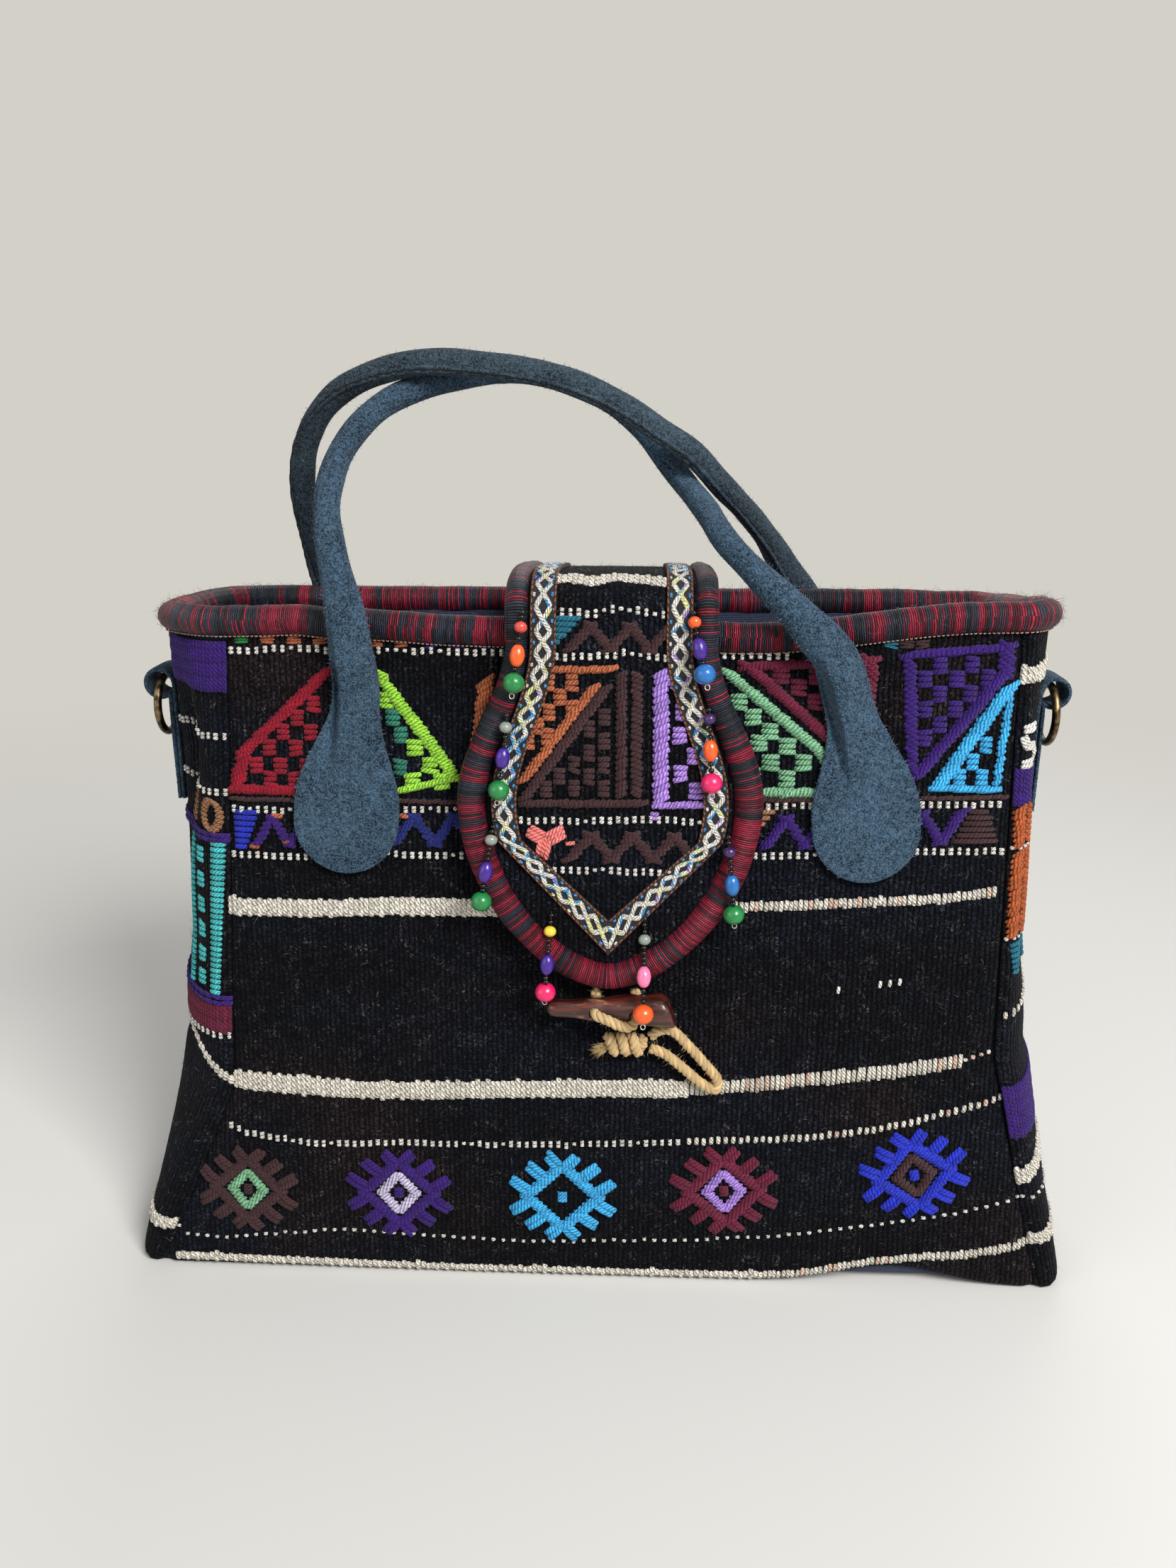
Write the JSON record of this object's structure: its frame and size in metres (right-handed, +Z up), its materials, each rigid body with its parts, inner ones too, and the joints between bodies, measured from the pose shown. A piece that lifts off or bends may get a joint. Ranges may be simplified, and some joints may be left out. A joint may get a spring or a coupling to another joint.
{
  "type": "blanket tote bag",
  "caption": "Soft-walled tote bag sewn from a striped woven blanket, with a fold-over flap, beaded pendants, rolled leather handles, side rings and a toggle on jute.",
  "frame": {"origin": "middle of the underside of the base, on the floor", "axes": "+X to the bag's right seen from the front, -Y out of the front, +Z up"},
  "size_m": [0.416, 0.1556, 0.3873],
  "materials": {
    "wool": "coarse hand-woven wool, matte, near black with woven stripes and motifs",
    "lining": "plain woven cotton lining, matte navy",
    "wrap": "wool yarn wound round a cord in burgundy and charcoal bands",
    "braid": "flat woven braid, black and white with coloured flecks",
    "suede": "slate blue suede with a soft nap",
    "bronze": "aged bronze, worn bright on the high places",
    "toggle_wood": "dark red-brown polished branch",
    "jute": "two-strand jute twine, hairy",
    "thread": "black glass seed beads on black thread, glossy",
    "bead_red": "lacquered bead, glossy",
    "bead_orange": "lacquered bead, glossy",
    "bead_green": "lacquered bead, glossy",
    "bead_grey": "lacquered bead, glossy",
    "bead_purple": "lacquered bead, glossy",
    "bead_yellow": "lacquered bead, glossy",
    "bead_pink": "lacquered bead, glossy",
    "bead_rose": "lacquered bead, glossy",
    "bead_blue": "lacquered bead, glossy",
    "bead_plum": "lacquered bead, glossy"
  },
  "bodies": {
    "bag": {"front_panel": "wool", "back_panel": "wool", "left_gusset": "wool", "right_gusset": "wool", "base_panel": "wool", "lining": "lining", "rim_cord": "wrap", "flap_panel": "wool", "flap_cord": "wrap", "flap_trim": "braid", "front_handle": "suede", "back_handle": "suede", "left_ring_tab": "suede", "right_ring_tab": "suede", "closing_knot": "jute", "closing_loop": "jute"},
    "left_ring": {"left_ring": "bronze"},
    "right_ring": {"right_ring": "bronze"},
    "toggle": {"toggle": "toggle_wood", "toggle_cord": "jute"},
    "pendant_left_top": {"pendant_left_top_thread": "thread", "pendant_left_top_small_bead": "bead_red", "pendant_left_top_oval_bead": "bead_orange", "pendant_left_top_round_bead": "bead_green"},
    "pendant_left_mid": {"pendant_left_mid_thread": "thread", "pendant_left_mid_small_bead": "bead_grey", "pendant_left_mid_oval_bead": "bead_purple", "pendant_left_mid_round_bead": "bead_green"},
    "pendant_left_low": {"pendant_left_low_thread": "thread", "pendant_left_low_small_bead": "bead_grey", "pendant_left_low_oval_bead": "bead_purple", "pendant_left_low_round_bead": "bead_green"},
    "pendant_tip_left": {"pendant_tip_left_thread": "thread", "pendant_tip_left_small_bead": "bead_yellow", "pendant_tip_left_oval_bead": "bead_purple", "pendant_tip_left_round_bead": "bead_pink"},
    "pendant_tip_right": {"pendant_tip_right_thread": "thread", "pendant_tip_right_small_bead": "bead_grey", "pendant_tip_right_oval_bead": "bead_rose", "pendant_tip_right_round_bead": "bead_orange"},
    "pendant_right_top": {"pendant_right_top_thread": "thread", "pendant_right_top_small_bead": "bead_orange", "pendant_right_top_oval_bead": "bead_purple", "pendant_right_top_round_bead": "bead_blue"},
    "pendant_right_mid": {"pendant_right_mid_thread": "thread", "pendant_right_mid_small_bead": "bead_plum", "pendant_right_mid_oval_bead": "bead_orange", "pendant_right_mid_round_bead": "bead_pink"},
    "pendant_right_low": {"pendant_right_low_thread": "thread", "pendant_right_low_small_bead": "bead_plum", "pendant_right_low_oval_bead": "bead_blue", "pendant_right_low_round_bead": "bead_green"}
  },
  "joints": [
    {"name": "left_ring_swing", "type": "hinge", "parent": "bag", "child": "left_ring", "pos_m": [-0.19131, 0, 0.25105], "axis": [0, 1, 0], "range_deg": [0, 150]},
    {"name": "right_ring_swing", "type": "hinge", "parent": "bag", "child": "right_ring", "pos_m": [0.19131, 0, 0.25105], "axis": [0, -1, 0], "range_deg": [0, 150]},
    {"name": "toggle_swing", "type": "hinge", "parent": "bag", "child": "toggle", "pos_m": [0.0087, -0.0671, 0.13695], "axis": [-1, 0, 0], "range_deg": [0, 15]},
    {"name": "pendant_left_top_swing", "type": "hinge", "parent": "bag", "child": "pendant_left_top", "pos_m": [-0.0279, -0.05823, 0.29261], "axis": [-1, 0, 0], "range_deg": [0, 90]},
    {"name": "pendant_left_mid_swing", "type": "hinge", "parent": "bag", "child": "pendant_left_mid", "pos_m": [-0.0338, -0.06345, 0.25461], "axis": [-1, 0, 0], "range_deg": [0, 90]},
    {"name": "pendant_left_low_swing", "type": "hinge", "parent": "bag", "child": "pendant_left_low", "pos_m": [-0.0395, -0.06505, 0.21158], "axis": [-1, 0, 0], "range_deg": [0, 90]},
    {"name": "pendant_tip_left_swing", "type": "hinge", "parent": "bag", "child": "pendant_tip_left", "pos_m": [-0.0172, -0.06702, 0.1731], "axis": [-1, 0, 0], "range_deg": [0, 90]},
    {"name": "pendant_tip_right_swing", "type": "hinge", "parent": "bag", "child": "pendant_tip_right", "pos_m": [0.0201, -0.06711, 0.17211], "axis": [-1, 0, 0], "range_deg": [0, 90]},
    {"name": "pendant_right_top_swing", "type": "hinge", "parent": "bag", "child": "pendant_right_top", "pos_m": [0.0361, -0.05626, 0.29237], "axis": [-1, 0, 0], "range_deg": [0, 90]},
    {"name": "pendant_right_mid_swing", "type": "hinge", "parent": "bag", "child": "pendant_right_mid", "pos_m": [0.0431, -0.06278, 0.25651], "axis": [-1, 0, 0], "range_deg": [0, 90]},
    {"name": "pendant_right_low_swing", "type": "hinge", "parent": "bag", "child": "pendant_right_low", "pos_m": [0.052, -0.06554, 0.20611], "axis": [-1, 0, 0], "range_deg": [0, 90]}
  ]
}
